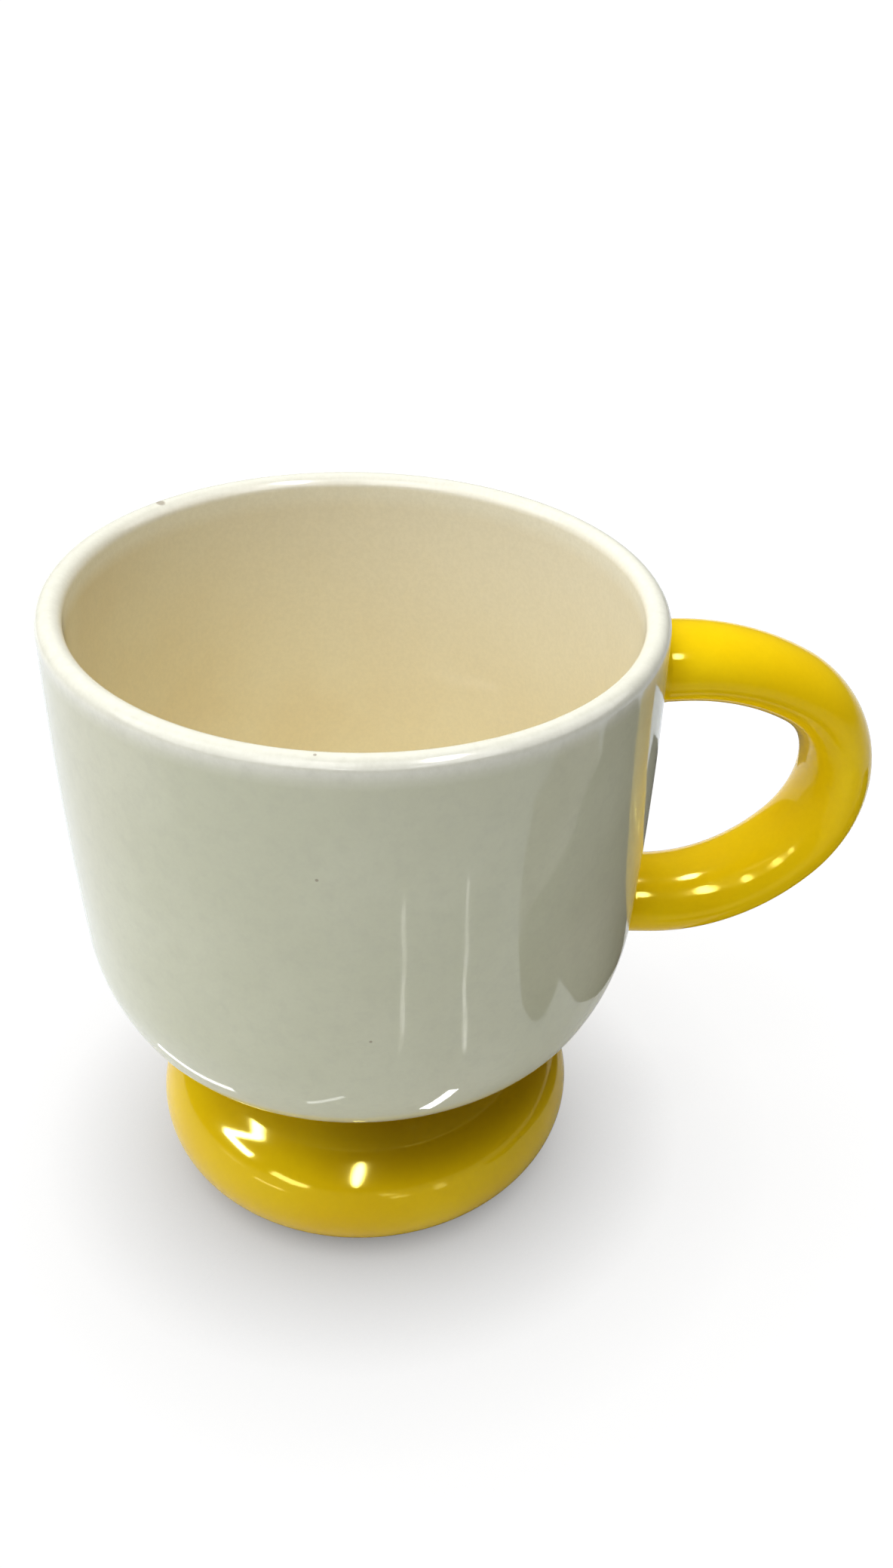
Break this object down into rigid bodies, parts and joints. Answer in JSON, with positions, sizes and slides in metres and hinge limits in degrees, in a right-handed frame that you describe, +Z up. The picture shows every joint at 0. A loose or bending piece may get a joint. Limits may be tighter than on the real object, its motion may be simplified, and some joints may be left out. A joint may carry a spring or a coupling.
{
  "type": "pedestal mug",
  "caption": "Glazed ceramic pedestal mug: a deep cream bowl on a fat round yellow foot ring, with a yellow oval loop handle on one side.",
  "frame": {"origin": "On the vertical centre line of the bowl and foot, at table level: the middle of the flat standing ring underneath.", "axes": "+X runs from the centre line out through the middle of the handle, +Y is to the left as the handle is looked along from the centre, so the two sides of the handle face +Y and -Y, and +Z is up, from the table to the rim."},
  "size_m": [0.1302, 0.09, 0.1048],
  "materials": {
    "cream_glaze": "glossy cream glaze, warmer where it lies thick inside the bowl",
    "yellow_glaze": "glossy deep yellow glaze"
  },
  "bodies": {
    "root": {"bowl": "cream_glaze", "pedestal_foot": "yellow_glaze", "handle": "yellow_glaze", "upper_handle_joint": "yellow_glaze", "lower_handle_joint": "yellow_glaze", "foot_joint": "yellow_glaze"}
  },
  "joints": []
}
